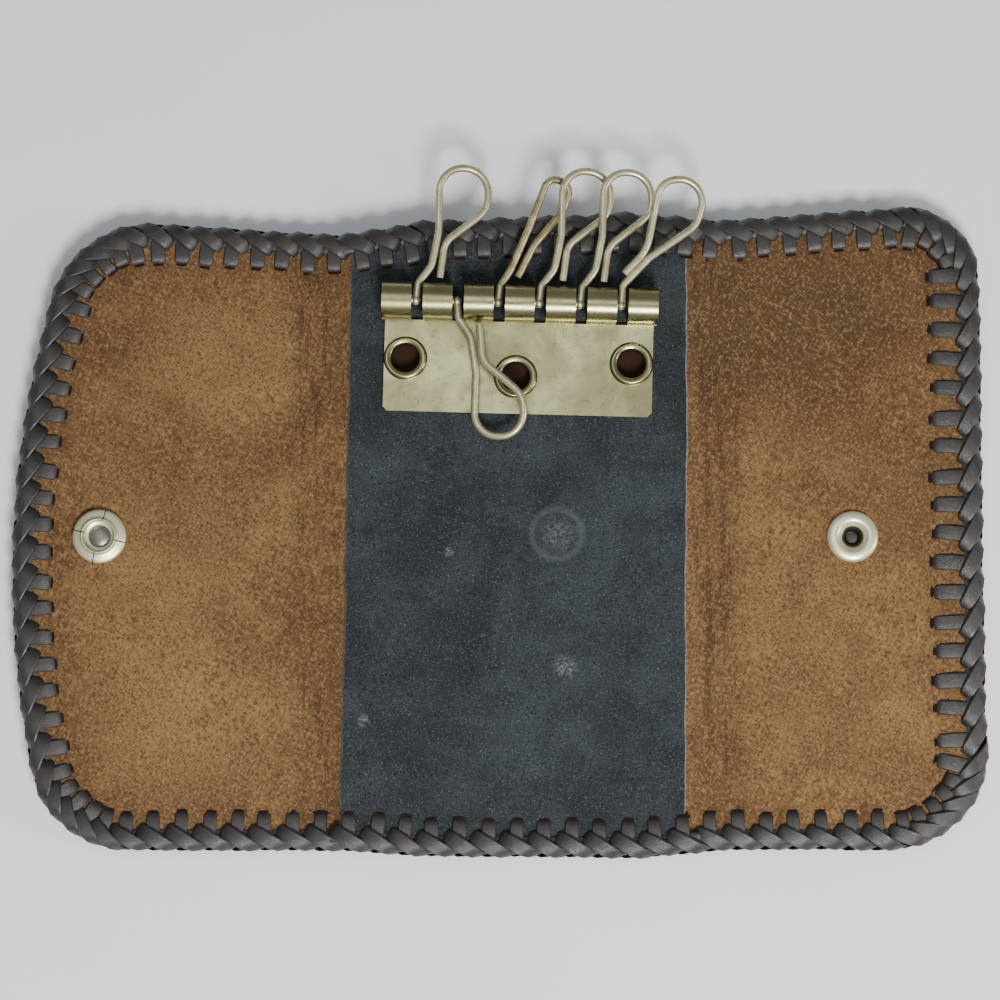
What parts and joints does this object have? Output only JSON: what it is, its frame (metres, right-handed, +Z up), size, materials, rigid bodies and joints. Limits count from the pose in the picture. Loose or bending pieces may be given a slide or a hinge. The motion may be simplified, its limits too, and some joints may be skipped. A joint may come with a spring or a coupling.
{
  "type": "key case",
  "caption": "Tri-fold leather key case with laced edges, a snap closure and swinging key hooks on a rolled metal plate, lying open.",
  "frame": {"origin": "centre of the open case's box, on the flat surface that it lies on", "axes": "+X across the three panels to the right flap, +Y up the case towards the key hooks, +Z up out of the inside face"},
  "size_m": [0.1584, 0.1128, 0.011],
  "materials": {
    "outer_leather": "suede flesh side inside, smooth dyed grain side outside",
    "liner_leather": "matte mottled lining leather",
    "lace": "satin flat lace",
    "nickel": "satin nickel plate, worn and warm",
    "nickel_wire": "nickel plated spring wire with tarnish spots",
    "snap_metal": "bright nickel plate"
  },
  "bodies": {
    "centre": {"centre_panel": "outer_leather", "liner": "liner_leather", "centre_top_lacing": "lace", "centre_bottom_lacing": "lace", "key_plate": "nickel", "plate_eyelets": "nickel"},
    "left_strip": {"left_strip": "outer_leather", "liner_left_edge": "liner_leather", "left_strip_lacing": "lace"},
    "left_flap": {"left_flap": "outer_leather", "left_flap_lacing": "lace", "snap_cap": "snap_metal", "snap_socket": "snap_metal"},
    "right_strip": {"right_strip": "outer_leather", "right_strip_lacing": "lace"},
    "right_flap": {"right_flap": "outer_leather", "right_flap_lacing": "lace", "snap_stud": "snap_metal", "stud_eyelet": "snap_metal"},
    "key_hook_1": {"key_hook_1": "nickel_wire"},
    "key_hook_2": {"key_hook_2": "nickel_wire"},
    "key_hook_3": {"key_hook_3": "nickel_wire"},
    "key_hook_4": {"key_hook_4": "nickel_wire"},
    "key_hook_5": {"key_hook_5": "nickel_wire"},
    "key_hook_6": {"key_hook_6": "nickel_wire"}
  },
  "joints": [
    {"name": "left_fold_1", "type": "hinge", "parent": "centre", "child": "left_strip", "pos_m": [-0.02003, 0, 0.00525], "axis": [0, 1, 0], "range_deg": [0, 90]},
    {"name": "left_fold_2", "type": "hinge", "parent": "left_strip", "child": "left_flap", "pos_m": [-0.03118, 0, 0.00525], "axis": [0, 1, 0], "range_deg": [0, 90]},
    {"name": "right_fold_1", "type": "hinge", "parent": "centre", "child": "right_strip", "pos_m": [0.03272, 0, 0.00525], "axis": [0, -1, 0], "range_deg": [0, 90]},
    {"name": "right_fold_2", "type": "hinge", "parent": "right_strip", "child": "right_flap", "pos_m": [0.03907, 0, 0.00525], "axis": [0, -1, 0], "range_deg": [0, 90]},
    {"name": "hook_1_swing", "type": "hinge", "parent": "centre", "child": "key_hook_1", "pos_m": [-0.01704, 0.03412, 0.00815], "axis": [0.9997, -0.0262, 0], "range_deg": [0, 180.5]},
    {"name": "hook_2_swing", "type": "hinge", "parent": "centre", "child": "key_hook_2", "pos_m": [-0.01035, 0.03394, 0.00815], "axis": [0.9997, -0.0262, 0], "range_deg": [-180.5, 0]},
    {"name": "hook_3_swing", "type": "hinge", "parent": "centre", "child": "key_hook_3", "pos_m": [-0.00365, 0.03377, 0.00815], "axis": [0.9997, -0.0262, 0], "range_deg": [0, 180.5]},
    {"name": "hook_4_swing", "type": "hinge", "parent": "centre", "child": "key_hook_4", "pos_m": [0.00305, 0.03359, 0.00815], "axis": [0.9997, -0.0262, 0], "range_deg": [0, 180.5]},
    {"name": "hook_5_swing", "type": "hinge", "parent": "centre", "child": "key_hook_5", "pos_m": [0.00975, 0.03341, 0.00815], "axis": [0.9997, -0.0262, 0], "range_deg": [0, 180.5]},
    {"name": "hook_6_swing", "type": "hinge", "parent": "centre", "child": "key_hook_6", "pos_m": [0.01645, 0.03324, 0.00815], "axis": [0.9997, -0.0262, 0], "range_deg": [0, 180.5]}
  ]
}
